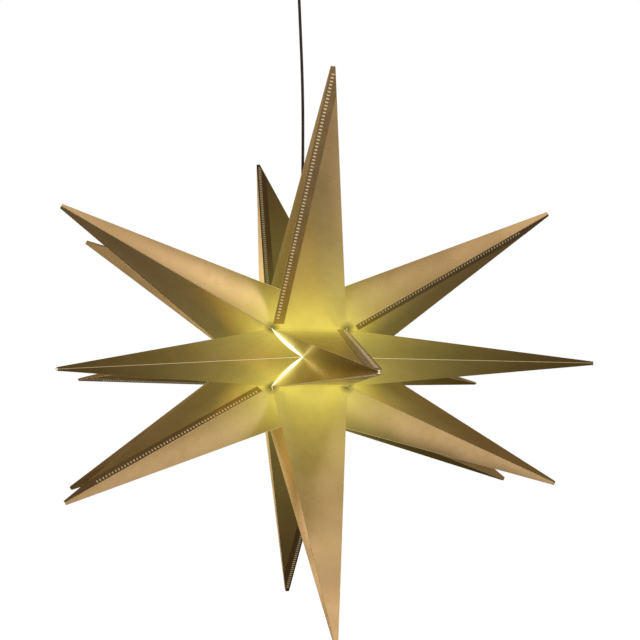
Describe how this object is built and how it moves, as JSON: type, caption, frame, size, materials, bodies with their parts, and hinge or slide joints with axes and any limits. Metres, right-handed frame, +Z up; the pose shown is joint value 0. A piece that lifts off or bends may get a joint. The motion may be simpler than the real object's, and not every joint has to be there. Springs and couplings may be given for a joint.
{
  "type": "folding star pendant lamp",
  "caption": "Hanging star lamp of hollow folded film spikes round a globe bulb, on a cord from a ceiling fitting",
  "frame": {"origin": "the middle of the ceiling face, where the fitting meets the ceiling", "axes": "+Z up into the ceiling, the star's front spike points along -Y, +X to its right seen from the front"},
  "size_m": [0.654, 0.8005, 0.9182],
  "materials": {
    "film": "translucent metallised film with a soft brass sheen",
    "cord_cover": "braided textile",
    "black_plastic": "moulded",
    "white_plastic": "moulded",
    "opal_plastic": "opal",
    "canopy_paint": "satin",
    "zinc_steel": "zinc plated",
    "brass": "plain",
    "aluminium": "rolled"
  },
  "bodies": {
    "ceiling": {"canopy": "canopy_paint", "ceiling_bracket": "zinc_steel", "canopy_screws": "zinc_steel", "cord_gland": "black_plastic", "gland_nut": "brass", "terminal_block": "white_plastic", "terminal_screws": "zinc_steel", "cord_tail": "cord_cover"},
    "cord": {"cord": "cord_cover"},
    "holder": {"carrier_disc": "zinc_steel", "cord_grip": "black_plastic", "grip_screw": "black_plastic", "nipple": "zinc_steel", "holder_cap": "black_plastic", "holder_body": "black_plastic", "holder_core": "white_plastic", "thread_shell": "brass", "contact_strip": "brass", "cord_stub": "cord_cover", "holder_wires": "white_plastic"},
    "star": {"back_left_spike": "film", "back_middle_half_a": "film", "back_middle_half_b": "film", "back_right_spike": "film", "front_left_spike": "film", "front_middle_half_a": "film", "front_middle_half_b": "film", "front_right_spike": "film", "lower_back_left_spike": "film", "lower_back_middle_half_a": "film", "lower_back_middle_half_b": "film", "lower_back_right_spike": "film", "lower_front_left_spike": "film", "lower_front_middle_half_a": "film", "lower_front_middle_half_b": "film", "lower_front_right_spike": "film", "upper_back_left_spike": "film", "upper_back_middle_half_a": "film", "upper_back_middle_half_b": "film", "upper_back_right_spike": "film", "upper_front_left_spike": "film", "upper_front_middle_half_a": "film", "upper_front_middle_half_b": "film", "upper_front_right_spike": "film"},
    "bulb_travel": {"bulb_contact": "brass"},
    "bulb": {"bulb_insulator": "black_plastic", "bulb_screw_shell": "aluminium", "bulb_collar": "white_plastic", "bulb_globe": "opal_plastic", "led_board": "white_plastic"}
  },
  "joints": [
    {"name": "cord_swing", "type": "hinge", "parent": "ceiling", "child": "cord", "pos_m": [0, 0, -0.032], "axis": [0, 1, 0], "range_deg": [-12, 12]},
    {"name": "star_tilt", "type": "hinge", "parent": "cord", "child": "holder", "pos_m": [0.005, 0, -0.47264], "axis": [1, 0, 0], "range_deg": [-10, 10]},
    {"name": "star_turn", "type": "hinge", "parent": "holder", "child": "star", "pos_m": [0.005, 0, -0.56], "axis": [0, 0, 1], "continuous": true},
    {"name": "bulb_travel", "type": "slide", "parent": "holder", "child": "bulb_travel", "axis": [0, 0, -1], "range_m": [0, 0.00987]},
    {"name": "bulb_unscrew", "type": "hinge", "parent": "bulb_travel", "child": "bulb", "pos_m": [0.005, 0, -0.56], "axis": [0, 0, -1], "range_deg": [-30, 1290]}
  ],
  "couplings": [
    {"joint": "bulb_unscrew", "follows": "bulb_travel", "rad_per_m": 2228.1}
  ]
}
